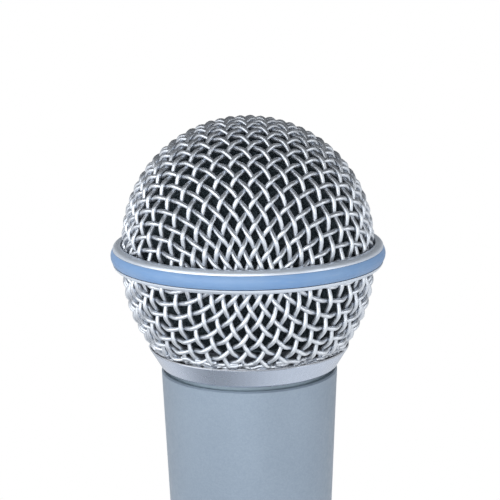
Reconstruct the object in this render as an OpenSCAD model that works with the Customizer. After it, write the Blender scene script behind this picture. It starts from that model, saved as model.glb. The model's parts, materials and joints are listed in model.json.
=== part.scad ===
// Handheld dynamic microphone with a two-part woven wire ball.
// Millimetres, +Z up along the handle, origin at the centre of the connector end.

/* [Ball] */
// Diameter over the coloured ring round the middle of the ball
ball_d = 51; // [47:0.5:56]
// How far the coloured ring stands out past the wire mesh
ring_overhang = 2.05; // [1.9:0.05:3]
// Height of the coloured ring
ring_h = 2.6; // [2.2:0.1:4]
// How far the ring's face swells between its edges
ring_crown = 0.4; // [0.1:0.05:0.6]
// Thickness of the coloured ring at its edges
ring_t = 0.85; // [0.6:0.05:1]
// Height of the dome above the coloured ring
dome_h = 24.2; // [22:0.1:26]
// Height of the lower cup between the collar and the coloured ring
cup_h = 16; // [14:0.1:17.5]
// Height of the rounded rims above and below the coloured ring
rim_h = 0.8; // [0.5:0.05:1.1]
// Thickness of the ledge inside the band that both meshes stand on
ledge_t = 1; // [0.6:0.1:1.4]
// Reach of that ledge inwards past the wire mesh
ledge_reach = 2; // [1:0.1:3]

/* [Wire mesh] */
// Diameter of the wire
wire_d = 0.8; // [0.5:0.05:0.9]
// Distance between neighbouring wires of the cloth
wire_pitch = 2.7; // [2.4:0.02:4]
// Room between two wires where they cross
weave_gap = 0.12; // [0.08:0.01:0.2]
// Share by which the drawn cloth relaxes on its bias
bias_relax = 0.5; // [0:0.05:0.6]
// Turn of the cloth about the handle, which brings its bias to the front
weave_turn = 47; // [0:1:90]

/* [Collar] */
// Height of the collar
collar_h = 3.9; // [3.4:0.1:6]
// Outer diameter of the collar at its foot
collar_foot_d = 33.4; // [32.4:0.1:36]
// Outer diameter of the collar at its lip
collar_lip_d = 37.5; // [36.5:0.1:39]
// Width of the lip round the mesh
lip_w = 0.4; // [0.3:0.05:0.8]
// Depth to which the mesh is tucked into the collar
mesh_tuck = 1.4; // [1.2:0.1:1.8]
// Bore of the collar, which takes the handle's neck
collar_bore_d = 28; // [27:0.1:29]
// Height of the threaded sleeve above the collar's foot
sleeve_h = 5.7; // [5:0.1:8]
// Wall of the threaded sleeve
sleeve_wall = 0.9; // [0.6:0.1:1]

/* [Foam] */
// Thickness of the foam under the dome
foam_t = 4; // [2:0.5:6]
// Room between the foam and the wire mesh
foam_gap = 0.6; // [0.3:0.1:0.9]

/* [Handle] */
// Length of the handle up to its shoulder
handle_len = 112.5; // [95:0.5:140]
// Diameter of the handle at its shoulder
handle_top_d = 33.1; // [32:0.1:36]
// Diameter of the handle at its connector end
handle_end_d = 24; // [23:0.1:27]
// Chamfer round both ends of the handle
handle_chamfer = 0.3; // [0.1:0.1:0.8]
// Height of the groove between the handle and the collar
groove_h = 0.8; // [0.5:0.1:1.5]
// Depth of that groove
groove_depth = 0.95; // [0.5:0.05:1.2]
// Height of the threaded neck above its seat
neck_h = 6.2; // [6:0.1:9]
// Height of the plain land at the foot of the neck
land_h = 1.5; // [1:0.1:2.5]
// Depth of the thread cut into the neck
thread_depth = 0.6; // [0.3:0.05:0.8]
// Bore of the neck
neck_bore_d = 23.8; // [23.6:0.1:24.2]
// Depth of the straight bore under the neck's top
neck_bore_len = 15; // [12:0.5:25]
// Bore of the handle at the top of its connector seat
throat_d = 21.2; // [20:0.1:22]
// Radial room of the collar on the neck's land
thread_fit = 0.07; // [0.03:0.01:0.1]
// Rise of the ball for one turn of its thread
thread_pitch = 0.8; // [0.5:0.05:1]
// Turns that free the ball from the neck
thread_turns = 3; // [2:0.5:4]

/* [Cartridge] */
// Outer diameter of the cartridge case
case_d = 21; // [20:0.1:21.2]
// Length of the cartridge case
case_len = 21; // [19.5:0.5:26]
// Wall of the cartridge case
case_wall = 0.9; // [0.6:0.1:1.2]
// Depth of the chamber behind the magnet
rear_chamber = 6.4; // [4:0.2:7]
// Width of the step that the yoke stands on
yoke_step = 1.2; // [0.8:0.1:2]
// Thickness of the case floor
case_floor = 1.2; // [0.8:0.1:1.6]
// Diameter of the flange that the rubber mount holds
flange_d = 24.4; // [23.4:0.1:24.6]
// Thickness of that flange
flange_t = 1.6; // [1:0.1:2]
// Height of the flange above the foot of the case
flange_up = 4.2; // [3.5:0.1:5]
// Thickness of the front cap
cap_t = 1.4; // [0.8:0.1:2]
// Diameter of the sound holes in the cap
cap_hole_d = 2; // [1:0.1:2.4]
// Number of sound holes in the cap's outer ring
cap_holes = 12; // [6:1:14]
// Number of sound holes in the cap's inner ring
cap_inner_holes = 6; // [3:1:8]
// Thickness of the cloth under the cap
cloth_t = 0.3; // [0.2:0.05:0.4]

/* [Motor] */
// Diameter of the magnet
magnet_d = 12; // [8:0.1:12]
// Height of the magnet
magnet_h = 6; // [4:0.1:6.2]
// Diameter of the pole plate on the magnet
pole_d = 12.2; // [12:0.1:12.4]
// Thickness of the pole plate
pole_t = 2; // [1.5:0.1:2.4]
// Wall of the steel yoke cup
yoke_wall = 1.6; // [1.2:0.1:1.7]
// Floor of the steel yoke cup
yoke_floor = 2; // [1.5:0.1:2.2]
// Thickness of the voice coil's winding
coil_t = 0.7; // [0.4:0.05:0.8]
// Height of the voice coil
coil_h = 3.4; // [2.6:0.1:4]
// Inner diameter of the voice coil
coil_d = 13.2; // [13.1:0.05:13.4]
// Thickness of the diaphragm
diaphragm_t = 0.25; // [0.2:0.05:0.3]
// Height of the roll round the diaphragm, as a share of its half width
roll_rise = 0.35; // [0.2:0.05:0.4]
// Height of the diaphragm's centre dome
dome_rise = 1.3; // [0.6:0.1:1.4]
// Room round the edge of the diaphragm
edge_gap = 0.4; // [0.3:0.05:0.6]
// Room left under the diaphragm at the end of its travel
rest_gap = 0.7; // [0.5:0.1:0.8]
// Travel of the diaphragm each way
diaphragm_travel = 0.3; // [0.1:0.05:0.35]

/* [Mount] */
// Outer diameter of the rubber mount's rim
mount_rim_d = 27.2; // [26.4:0.1:27.3]
// Height of the rubber lips under and over the cartridge's flange
mount_lip = 0.8; // [0.6:0.1:1.5]
// Length of the rubber skirt inside the neck
mount_skirt = 6; // [3:0.5:9]
// Travel of the cartridge on the rubber each way
float_travel = 0.8; // [0.2:0.1:1]

/* [Connector] */
// Outer diameter of the connector insert
insert_d = 19; // [18.6:0.1:19.4]
// Length of the connector insert
insert_len = 21.6; // [20:0.2:24]
// Inner diameter of the plug socket
socket_d = 16.2; // [16:0.1:16.6]
// Depth of the plug socket
socket_depth = 17; // [15:0.5:18]
// Depth of the insert behind the handle's end
insert_inset = 0.4; // [0.2:0.1:1]
// Diameter of a contact pin
pin_d = 2.4; // [2:0.1:2.6]
// Distance of each contact pin from the axis
pin_offset = 3.81; // [3.4:0.01:4]
// Depth of the pin tips inside the socket
pin_inset = 4; // [3:0.5:6]
// Step from a pin to its shank, and from its shank to its solder cup
pin_step = 0.25; // [0.2:0.05:0.4]
// Length of a solder cup behind the insert
cup_len = 4.5; // [3:0.5:6]
// Width of the plug's keyway
keyway_w = 2.6; // [2:0.1:3]
// Diameter of the set screw that holds the insert
screw_d = 2.9; // [2:0.1:3.2]
// Height of the set screw above the handle's end
screw_z = 10; // [6:0.5:12]

/* [Transformer] */
// Width of the lamination stack
core_w = 15; // [13:0.5:16]
// Thickness of the lamination stack
core_t = 12; // [10:0.5:13]
// Height of the lamination stack
core_h = 17; // [15:0.5:22]
// Width of each window in the stack
window_w = 2.6; // [2:0.1:2.8]
// Height of each window in the stack
window_h = 10; // [8:0.5:11]
// How far the winding stands out of the stack
winding_out = 2.4; // [1:0.1:2.6]
// Height of the potting above the connector end
potting_z = 62; // [45:1:70]
// Thickness of the potting
potting_h = 7; // [5:0.5:10]
// Depth of the stack in the potting
core_sink = 3; // [2:0.5:4]

/* [Leads] */
// Diameter of an insulated lead
lead_d = 1.1; // [0.7:0.1:1.3]
// Width of a solder tag
tag_w = 1.8; // [1.2:0.1:2.4]
// Thickness of a solder tag
tag_t = 0.4; // [0.3:0.1:0.6]
// Length of a solder tag
tag_len = 4; // [3:0.5:5]
// Distance of each solder tag from the middle of the board
tag_offset = 3.2; // [2.6:0.1:3.4]
// Thickness of the terminal board
board_t = 1.2; // [0.8:0.1:2]

/* [Hidden] */
$fn = 96;

// Room between pieces that are pressed or glued together
close_fit = 0.05;
// Room between pieces that are dropped into each other
loose_fit = 0.1;
// Room left between soft and rigid pieces
soft_fit = 0.3;
// Overshoot of a cut past the face that it opens
cut = 1;

// Heights up the microphone
seat_z = handle_len + groove_h;
collar_top_z = seat_z + collar_h;
ring_z0 = collar_top_z + cup_h;
ring_z1 = ring_z0 + ring_h;
top_z = ring_z1 + dome_h;
ledge_z0 = (ring_z0 + ring_z1 - ledge_t) / 2;
ledge_z1 = ledge_z0 + ledge_t;
neck_top_z = seat_z + neck_h;
sleeve_top_z = seat_z + sleeve_h;

// Wire mesh
// A three-sided section as wide as the wire stands for its round one
wire_sides = 3;
wire_r = wire_d / (2 * sin(360 / wire_sides));
wire_flat = wire_r * cos(180 / wire_sides);
weave_h = wire_r + weave_gap / 2;
mesh_r = ball_d / 2 - ring_overhang;
mesh_mid_r = mesh_r - weave_h - wire_flat;
mesh_inner_r = mesh_mid_r - weave_h - wire_flat;
mesh_fit = 0.2;
mouth_r = collar_lip_d / 2 - lip_w;
dome_centre_z = top_z - mesh_r;
cup_centre_z = collar_top_z + sqrt(pow(mesh_r, 2) - pow(mouth_r, 2));
wire_seat = wire_r + mesh_fit;
net_step = wire_pitch / mesh_mid_r * 180 / PI;
net_size = ceil(110 / net_step);
// Shortest stretch of wire beyond a crossing, and shortest wire, as shares of the pitch
least_end = 0.25;
least_run = 0.7;

// Band and collar
ball_r = ball_d / 2;
band_r = ball_r - ring_crown;
ring_bed_r = band_r - ring_t;
channel_r = mesh_r + mesh_fit;
ledge_r = mesh_inner_r - ledge_reach;
ring_gap = 0.15;
bore_r = collar_bore_d / 2;
sleeve_r = bore_r + sleeve_wall;
collar_floor_z = collar_top_z - mesh_tuck;
lip_bevel = 0.25;

// Foam. The ball rises past the neck foam as it unscrews, so that foam is drawn in to let it.
foam_r = mesh_inner_r - foam_gap;
thread_lift = thread_pitch * thread_turns;
neck_foam_r = mesh_inner_r - soft_fit;
neck_foam_bore_r = sleeve_r + soft_fit;

// Handle
land_r = bore_r - thread_fit;
thread_r = land_r - thread_depth;
neck_bore_r = neck_bore_d / 2;
bore_end_z = neck_top_z - neck_bore_len;
insert_bore_r = insert_d / 2 + loose_fit;
insert_z0 = insert_inset;
insert_z1 = insert_z0 + insert_len;
throat_z = insert_z1 + cup_len;
function handle_r(z) = handle_end_d / 2 + (handle_top_d - handle_end_d) / 2 * z / handle_len;
function throat_r(z) = throat_d / 2
    + (neck_bore_r - throat_d / 2) * (z - throat_z) / (bore_end_z - throat_z);

// Cartridge, held by its flange on the neck
mount_z0 = neck_top_z;
flange_z0 = mount_z0 + mount_lip;
flange_z1 = flange_z0 + flange_t;
mount_z1 = flange_z1 + mount_lip;
case_z0 = flange_z0 - flange_up;
case_z1 = case_z0 + case_len;
case_r = case_d / 2;
case_bore_r = case_r - case_wall;
yoke_z0 = case_z0 + case_floor + rear_chamber;
chamber_r = case_bore_r - yoke_step;
magnet_z0 = yoke_z0 + yoke_floor;
magnet_z1 = magnet_z0 + magnet_h;
pole_z1 = magnet_z1 + pole_t;
yoke_r = case_bore_r - loose_fit;
diaphragm_r = case_bore_r - edge_gap;
diaphragm_z = pole_z1 + diaphragm_travel + rest_gap;
coil_r = coil_d / 2;
cap_ring_r = case_bore_r - cap_hole_d;
board_r = chamber_r;
board_z0 = case_z0 - board_t;

// Connector
socket_r = socket_d / 2;
socket_z = insert_z0 + socket_depth;
pin_r = pin_d / 2;
pin_tip_z = insert_z0 + pin_inset;
shank_r = pin_r + pin_step;
cup_r = shank_r + pin_step;
cup_bore_r = lead_d / 2 + close_fit;
keyway_depth = (insert_d / 2 - socket_r) / 2;
pin_places = [[-pin_offset, 0], [pin_offset, 0], [0, -pin_offset]];
screw_r = screw_d / 2;
screw_seat_r = (insert_d / 2 + socket_r) / 2;

// Transformer and leads
core_z0 = potting_z + potting_h - core_sink;
leg_w = (core_w - 2 * window_w) / 4;
window_z0 = core_z0 + (core_h - window_h) / 2;
winding_w = 2 * (leg_w + window_w - loose_fit);
lead_r = lead_d / 2;
lead_offset = tag_offset - tag_t / 2 - soft_fit - lead_r;
lead_y = core_t / 2 + lead_r + close_fit;
winding_z1 = window_z0 + window_h - loose_fit;

// Points along an arc about c
function arc(c, r, from, to, steps = 8) =
    [for (k = [0 : steps]) let (a = from + (to - from) * k / steps) c + r * [cos(a), sin(a)]];

// Points of a shallow swelling between two heights, standing out by rise in the middle
function crown(r, z0, z1, rise, steps = 8) =
    [for (k = [0 : steps]) let (t = k / steps) [r + 4 * rise * t * (1 - t), z0 + (z1 - z0) * t]];

// Radius of a sphere about the axis at height z
function sphere_at(r, centre_z, z) = sqrt(max(0, pow(r, 2) - pow(z - centre_z, 2)));

// Woven cloth drawn over a unit sphere. One quarter of its crossings is worked out, where each
// cell is a rhombus of equal sides, and the other quarters mirror it.
function unit(v) = v / norm(v);
function far_corner(a, b, c) = let (m = unit(b + c)) 2 * (a * m) * m - a;
function next_row(above, row) =
    let (j = len(row) - 1)
    len(row) == len(above) ? row
    : next_row(above, concat(row, [far_corner(above[j], row[j], above[j + 1])]));
function net_rows(rows) =
    let (a = len(rows) * net_step)
    len(rows) > net_size ? rows
    : net_rows(concat(rows, [next_row(rows[len(rows) - 1], [[sin(a), 0, cos(a)]])]));

// The bias of the cloth spreads a little towards an even polar layout
function relaxed(p, i, j) =
    let (
        away = net_step * norm([i, j]),
        turn = atan2(j, i),
        share = bias_relax * pow(sin(2 * turn), 2),
        even = [sin(away) * cos(turn), sin(away) * sin(turn), cos(away)]
    )
    unit((1 - share) * p + share * even);
rhombus_net = net_rows([[for (j = [0 : net_size]) [0, sin(j * net_step), cos(j * net_step)]]]);
net = [for (i = [0 : net_size]) [for (j = [0 : net_size]) relaxed(rhombus_net[i][j], i, j)]];

// Crossing number k along a wire of the warp (family 0) or the weft (family 1)
function crossing(i, j) =
    let (p = net[abs(i)][abs(j)]) [sign(i) * p.x, sign(j) * p.y, p.z];
function on_wire(family, line, k) = family == 0 ? crossing(line, k) : crossing(k, line);
function over_under(family, line, k) = abs(line + k + family) % 2 == 0 ? weave_h : -weave_h;
function wire_crossing(family, line, k) =
    on_wire(family, line, k) * (mesh_mid_r + over_under(family, line, k));
function wire_at(family, line, t) =
    let (k = floor(t))
    k == t ? wire_crossing(family, line, k)
    : (1 - t + k) * wire_crossing(family, line, k) + (t - k) * wire_crossing(family, line, k + 1);

// Place along half a wire, counted in crossings, where it drops to a level of the unit sphere
function last_above(family, line, level, k = 0) =
    k + 1 >= net_size || on_wire(family, line, k + 1).z < level ? k
    : last_above(family, line, level, k + 1);
function drop_to(family, line, level) =
    let (
        k = last_above(family, line, level),
        z0 = on_wire(family, line, k).z,
        z1 = on_wire(family, line, k + 1).z
    )
    k + (z0 - level) / (z0 - z1);

// Crossings of half a wire between two places along it, and those ends that are clear of them
function half_run(from, to) = concat(
    ceil(from) - from < least_end ? [] : [from],
    [for (k = [ceil(from) : 1 : floor(to)]) k],
    to - floor(to) < least_end ? [] : [to]);
function mirrored(run) = [for (k = [len(run) - 1 : -1 : 0]) -run[k]];
function full_run(to) = let (half = half_run(1, to)) concat(mirrored(half), [0], half);

// Stretches of one wire between the hole round the pole and the rim, none, one or two
function wire_runs(family, line, hole, rim) =
    let (start = on_wire(family, line, 0).z)
    start <= rim ? []
    : start <= hole ? [full_run(drop_to(family, line, rim))]
    : let (half = half_run(drop_to(family, line, hole), drop_to(family, line, rim)))
      [half, mirrored(half)];
function run_length(run) = run[len(run) - 1] - run[0];

// Corners of one wire's sections. The section turns on between crossings, so that each wire
// lays an edge to the wire that it crosses and a flat away from it.
function wire_corners(family, line, run) =
    let (points = [for (t = run) wire_at(family, line, t)], last = len(run) - 1)
    [for (k = [0 : last])
        let (
            out = unit(points[k]),
            across = unit(cross(points[min(k + 1, last)] - points[max(k - 1, 0)], out)),
            turn = (run[k] + line + family + 1) * 180 / wire_sides
        )
        each [for (s = [0 : wire_sides - 1]) let (a = turn + 360 * s / wire_sides)
            points[k] + wire_r * (cos(a) * out + sin(a) * across)]];

// Faces of a wire whose corners start at number first, its two ends before its sides
function wire_faces(first, sections) =
    let (last = first + (sections - 1) * wire_sides)
    concat(
        [for (s = [1 : wire_sides - 2])
            each [[first, first + s, first + s + 1], [last, last + s + 1, last + s]]],
        [for (k = [0 : sections - 2], s = [0 : wire_sides - 1])
            let (a = first + k * wire_sides + s, b = first + k * wire_sides + (s + 1) % wire_sides)
            each [[a, a + wire_sides, b], [b, a + wire_sides, b + wire_sides]]]);

// Bowl of separate wires, open at its rim and round a hole at its pole
module woven_bowl(hole, rim) {
    wires = [for (family = [0, 1], line = [-net_size + 1 : net_size - 1])
        for (run = wire_runs(family, line, hole, rim))
            if (run_length(run) > least_run) wire_corners(family, line, run)];
    firsts = [for (k = 0, sum = 0; k < len(wires); sum = sum + len(wires[k]), k = k + 1) sum];
    polyhedron(
        points = [for (corners = wires) each corners],
        faces = [for (k = [0 : len(wires) - 1])
            each wire_faces(firsts[k], len(wires[k]) / wire_sides)]);
}

module upper_mesh()
    color("gainsboro")
        translate([0, 0, dome_centre_z]) rotate([0, 0, weave_turn])
            woven_bowl(hole = 2, rim = (ledge_z1 + wire_seat - dome_centre_z) / mesh_mid_r);

module lower_mesh()
    color("gainsboro")
        translate([0, 0, cup_centre_z]) mirror([0, 0, 1]) rotate([0, 0, weave_turn])
            woven_bowl(
                hole = (cup_centre_z - collar_floor_z - wire_seat) / mesh_mid_r,
                rim = (cup_centre_z - ledge_z0 + wire_seat) / mesh_mid_r);

// Ring-shaped casting with a bed for the coloured ring outside and a ledge inside
module centre_band()
    color("silver") rotate_extrude() polygon(concat(
        [[channel_r, ring_z1 + rim_h], [channel_r, ledge_z1], [ledge_r, ledge_z1],
            [ledge_r, ledge_z0], [channel_r, ledge_z0], [channel_r, ring_z0 - rim_h]],
        arc([band_r - rim_h, ring_z0], rim_h, -90, 0),
        [[ring_bed_r, ring_z0], [ring_bed_r, ring_z1]],
        arc([band_r - rim_h, ring_z1], rim_h, 0, 90)));

module colour_ring()
    color("lightsteelblue") rotate_extrude() polygon(concat(
        [[ring_bed_r + close_fit, ring_z1 - close_fit], [ring_bed_r + close_fit, ring_z0 + ring_gap]],
        crown(band_r, ring_z0 + ring_gap, ring_z1 - close_fit, ring_crown)));

// Flared collar with a seat for the lower mesh and a threaded sleeve
module grille_collar()
    color("lightslategray") rotate_extrude() polygon(concat(
        [[bore_r, seat_z], [collar_foot_d / 2 - lip_bevel, seat_z],
            [collar_foot_d / 2, seat_z + lip_bevel], [collar_lip_d / 2, collar_top_z - lip_bevel],
            [collar_lip_d / 2 - lip_bevel / 2, collar_top_z]],
        [for (k = [0 : 4]) let (z = collar_top_z + (collar_floor_z - collar_top_z) * k / 4)
            [sphere_at(mesh_r, cup_centre_z, z) + mesh_fit, z]],
        [[sleeve_r, collar_floor_z], [sleeve_r, sleeve_top_z], [bore_r, sleeve_top_z]]));

module dome_foam()
    color("dimgray") difference() {
        translate([0, 0, dome_centre_z]) sphere(r = foam_r);
        translate([0, 0, dome_centre_z]) sphere(r = foam_r - foam_t);
        translate([0, 0, dome_centre_z - 2 * foam_r])
            cylinder(r = 2 * foam_r, h = ledge_z1 + soft_fit - dome_centre_z + 2 * foam_r);
    }

module neck_foam() {
    foot_z = collar_top_z + thread_lift + soft_fit;
    head_z = ledge_z0 - soft_fit;
    color("dimgray") difference() {
        intersection() {
            translate([0, 0, cup_centre_z + thread_lift]) sphere(r = neck_foam_r);
            translate([0, 0, foot_z]) cylinder(r = 2 * neck_foam_r, h = head_z - foot_z);
        }
        translate([0, 0, foot_z - cut])
            cylinder(r = neck_foam_bore_r, h = head_z - foot_z + 2 * cut);
    }
}

// Cup-shaped case: rear chamber, seat for the yoke and the flange that the rubber holds
module cartridge_case()
    color("darkslategray") rotate_extrude() polygon([
        [0, case_z0], [case_r, case_z0], [case_r, flange_z0], [flange_d / 2, flange_z0],
        [flange_d / 2, flange_z1], [case_r, flange_z1], [case_r, case_z1], [case_bore_r, case_z1],
        [case_bore_r, yoke_z0], [chamber_r, yoke_z0], [chamber_r, case_z0 + case_floor],
        [0, case_z0 + case_floor]]);

module front_cap()
    color("black") difference() {
        translate([0, 0, case_z1]) cylinder(r = case_r, h = cap_t);
        for (a = [0 : 360 / cap_holes : 359])
            rotate([0, 0, a]) translate([cap_ring_r, 0, case_z1 - cut])
                cylinder(d = cap_hole_d, h = cap_t + 2 * cut);
        for (a = [0 : 360 / cap_inner_holes : 359])
            rotate([0, 0, a]) translate([cap_ring_r / 2, 0, case_z1 - cut])
                cylinder(d = cap_hole_d, h = cap_t + 2 * cut);
        translate([0, 0, case_z1 - cut]) cylinder(d = cap_hole_d, h = cap_t + 2 * cut);
    }

module acoustic_cloth()
    color("gray") translate([0, 0, case_z1 - cloth_t])
        cylinder(r = case_bore_r - loose_fit, h = cloth_t);

module yoke_cup()
    color("slategray") rotate_extrude() polygon([
        [0, yoke_z0], [yoke_r, yoke_z0], [yoke_r, pole_z1], [yoke_r - yoke_wall, pole_z1],
        [yoke_r - yoke_wall, magnet_z0], [0, magnet_z0]]);

module magnet()
    color("dimgray") translate([0, 0, magnet_z0]) cylinder(d = magnet_d, h = magnet_h);

module pole_plate()
    color("slategray") translate([0, 0, magnet_z1]) cylinder(d = pole_d, h = pole_t);

module voice_coil()
    color("peru") difference() {
        translate([0, 0, diaphragm_z - coil_h]) cylinder(r = coil_r + coil_t, h = coil_h);
        translate([0, 0, diaphragm_z - coil_h - cut]) cylinder(r = coil_r, h = coil_h + 2 * cut);
    }

// Thin dome with a half-round roll between the coil and its edge
module diaphragm() {
    edge_r = coil_r + coil_t;
    roll_r = (diaphragm_r - edge_r) / 2;
    dome_r = (pow(edge_r, 2) + pow(dome_rise, 2)) / (2 * dome_rise);
    half_angle = asin(edge_r / dome_r);
    roll_c = [edge_r + roll_r, diaphragm_z];
    dome_c = [0, diaphragm_z + dome_rise - dome_r];
    upper = concat(
        arc(dome_c, dome_r + diaphragm_t, 90, 90 - half_angle),
        [for (p = arc(roll_c, roll_r, 180, 0)) [p.x, diaphragm_z + diaphragm_t
            + roll_rise * (p.y - diaphragm_z)]]);
    lower = concat(
        [for (p = arc(roll_c, roll_r, 0, 180)) [p.x, diaphragm_z + roll_rise * (p.y - diaphragm_z)]],
        arc(dome_c, dome_r, 90 - half_angle, 90));
    color("lightgoldenrodyellow") rotate_extrude() polygon(concat(upper, lower));
}

module terminal_board()
    color("saddlebrown") translate([0, 0, board_z0]) cylinder(r = board_r, h = board_t);

module solder_tags()
    color("gold") for (side = [-1, 1])
        translate([side * tag_offset - tag_t / 2, lead_y - tag_w / 2, board_z0 - tag_len])
            cube([tag_t, tag_w, tag_len]);

// Rubber ring that sits on the neck and grips the cartridge's flange
module shock_mount() {
    grip_r = case_r + soft_fit;
    pocket_r = flange_d / 2 + soft_fit;
    skirt_r = neck_bore_r - loose_fit;
    color("black") rotate_extrude() polygon([
        [grip_r, mount_z0 - mount_skirt], [skirt_r, mount_z0 - mount_skirt], [skirt_r, mount_z0],
        [mount_rim_d / 2, mount_z0], [mount_rim_d / 2, mount_z1], [grip_r, mount_z1],
        [grip_r, flange_z1], [pocket_r, flange_z1], [pocket_r, flange_z0], [grip_r, flange_z0]]);
}

// Tapered casting with a grooved shoulder, a threaded neck and a stepped bore
module handle_body()
    color("lightslategray") difference() {
        rotate_extrude() polygon([
            [insert_bore_r, 0], [handle_end_d / 2 - handle_chamfer, 0],
            [handle_r(handle_chamfer), handle_chamfer],
            [handle_r(handle_len - handle_chamfer), handle_len - handle_chamfer],
            [handle_top_d / 2 - handle_chamfer, handle_len],
            [handle_top_d / 2 - groove_depth, handle_len], [handle_top_d / 2 - groove_depth, seat_z],
            [land_r, seat_z], [land_r, seat_z + land_h], [thread_r, seat_z + land_h],
            [thread_r, neck_top_z], [neck_bore_r, neck_top_z], [neck_bore_r, bore_end_z],
            [throat_r(throat_z), throat_z], [insert_bore_r, insert_z1]]);
        translate([0, 0, screw_z]) rotate([0, 90, 0])
            cylinder(r = screw_r + close_fit, h = handle_top_d);
    }

// Insulating insert with the plug socket, its keyway and the pin holes
module connector_insert()
    color("black") difference() {
        translate([0, 0, insert_z0]) cylinder(d = insert_d, h = insert_len);
        translate([0, 0, insert_z0 - cut]) cylinder(r = socket_r, h = socket_depth + cut);
        translate([-keyway_w / 2, 0, insert_z0 - cut])
            cube([keyway_w, socket_r + keyway_depth, socket_depth + cut]);
        for (p = pin_places)
            translate([p.x, p.y, socket_z - cut])
                cylinder(r = shank_r + close_fit, h = insert_len);
        translate([screw_seat_r, 0, screw_z]) rotate([0, 90, 0])
            cylinder(r = screw_r + close_fit, h = insert_d);
    }

// Three pins with rounded tips, thicker shanks in the insert and open solder cups
module contact_pins()
    color("gold") for (p = pin_places)
        translate([p.x, p.y, 0]) difference() {
            rotate_extrude() polygon(concat(
                [[0, insert_z1 + cup_len], [0, pin_tip_z]],
                arc([pin_r / 2, pin_tip_z + pin_r / 2], pin_r / 2, -90, 0),
                [[pin_r, socket_z], [shank_r, socket_z], [shank_r, insert_z1], [cup_r, insert_z1],
                    [cup_r, insert_z1 + cup_len]]));
            translate([0, 0, insert_z1 + cut]) cylinder(r = cup_bore_r, h = cup_len);
        }

module set_screw() {
    slot_w = screw_d / 5;
    head_x = handle_r(screw_z - screw_r) - soft_fit;
    color("silver") difference() {
        translate([screw_seat_r + close_fit, 0, screw_z]) rotate([0, 90, 0])
            cylinder(r = screw_r, h = head_x - screw_seat_r - close_fit);
        translate([head_x - slot_w, -screw_d, screw_z - slot_w / 2])
            cube([screw_d, 2 * screw_d, slot_w]);
    }
}

// Stack of laminations with a window on each side of its middle leg
module transformer_core()
    color("slategray") difference() {
        translate([-core_w / 2, -core_t / 2, core_z0]) cube([core_w, core_t, core_h]);
        for (side = [-1, 1])
            translate([side * (leg_w + window_w / 2) - window_w / 2, -core_t, window_z0])
                cube([window_w, 2 * core_t, window_h]);
    }

module transformer_winding()
    color("peru") difference() {
        translate([-winding_w / 2, -core_t / 2 - winding_out, window_z0 + loose_fit])
            cube([winding_w, core_t + 2 * winding_out, window_h - 2 * loose_fit]);
        translate([-leg_w - close_fit, -core_t / 2 - close_fit, window_z0])
            cube([2 * (leg_w + close_fit), core_t + 2 * close_fit, window_h]);
    }

// Resin that holds the foot of the transformer in the bore
module potting()
    color("black") difference() {
        translate([0, 0, potting_z])
            cylinder(r1 = throat_r(potting_z) - close_fit, r2 = throat_r(potting_z + potting_h)
                - close_fit, h = potting_h);
        translate([-core_w / 2, -core_t / 2, core_z0]) cube([core_w, core_t, core_h]);
    }

// Leads from the winding up beside the cartridge's tags
module coil_leads()
    color("firebrick") for (side = [-1, 1])
        translate([side * lead_offset, lead_y, winding_z1])
            cylinder(r = lead_r, h = board_z0 - soft_fit - float_travel - winding_z1);

module connector_leads()
    color("firebrick") for (p = pin_places)
        translate([p.x, p.y, insert_z1 + cut])
            cylinder(r = lead_r, h = potting_z - insert_z1 - cut);

upper_mesh();
lower_mesh();
centre_band();
colour_ring();
grille_collar();
dome_foam();
neck_foam();
cartridge_case();
front_cap();
acoustic_cloth();
yoke_cup();
magnet();
pole_plate();
terminal_board();
solder_tags();
voice_coil();
diaphragm();
shock_mount();
handle_body();
connector_insert();
contact_pins();
set_screw();
transformer_core();
transformer_winding();
potting();
coil_leads();
connector_leads();
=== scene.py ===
import json
import math
import random

import bmesh
import bpy
from mathutils import Matrix, Vector, noise


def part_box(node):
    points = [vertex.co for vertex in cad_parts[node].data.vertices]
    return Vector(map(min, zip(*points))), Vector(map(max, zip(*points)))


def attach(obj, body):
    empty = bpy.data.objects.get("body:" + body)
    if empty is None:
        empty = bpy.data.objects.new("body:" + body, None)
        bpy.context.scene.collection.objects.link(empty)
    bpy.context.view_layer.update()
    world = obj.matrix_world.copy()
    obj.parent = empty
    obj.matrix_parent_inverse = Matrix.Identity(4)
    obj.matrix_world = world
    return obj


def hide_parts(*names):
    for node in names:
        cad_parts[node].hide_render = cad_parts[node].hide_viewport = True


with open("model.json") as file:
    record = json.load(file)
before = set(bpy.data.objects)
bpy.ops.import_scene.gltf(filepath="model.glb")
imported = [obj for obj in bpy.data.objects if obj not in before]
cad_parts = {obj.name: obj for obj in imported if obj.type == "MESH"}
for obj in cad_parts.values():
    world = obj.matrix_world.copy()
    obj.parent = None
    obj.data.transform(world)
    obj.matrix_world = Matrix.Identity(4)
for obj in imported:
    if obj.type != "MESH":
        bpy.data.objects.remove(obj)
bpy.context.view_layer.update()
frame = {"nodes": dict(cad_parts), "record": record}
scene = bpy.context.scene
mm = 0.001
print("frame loaded,", len(frame["nodes"]), "nodes")

# heights in mm that the pieces below are set out from
ringMiddle = sum(corner.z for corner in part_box("colour_ring")) / 2 / mm
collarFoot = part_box("grille_collar")[0].z / mm


# small helpers for node trees

# values go to the sockets in order, the rest by name, with _ for a space
def addNode(tree, kind, props=None, values=None, **sockets):
    node = tree.nodes.new(kind)
    for key, value in (props or {}).items():
        setattr(node, key, value)
    given = dict(enumerate(values or []))
    given.update({key.replace("_", " "): value for key, value in sockets.items()})
    for key, value in given.items():
        if value is None:
            continue
        if isinstance(value, bpy.types.NodeSocket):
            tree.links.new(value, node.inputs[key])
        else:
            node.inputs[key].default_value = value
    return node


def mathNode(tree, operation, a, b=None, clamp=False):
    props = {"operation": operation, "use_clamp": clamp}
    return addNode(tree, "ShaderNodeMath", props, [a, b]).outputs[0]


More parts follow.
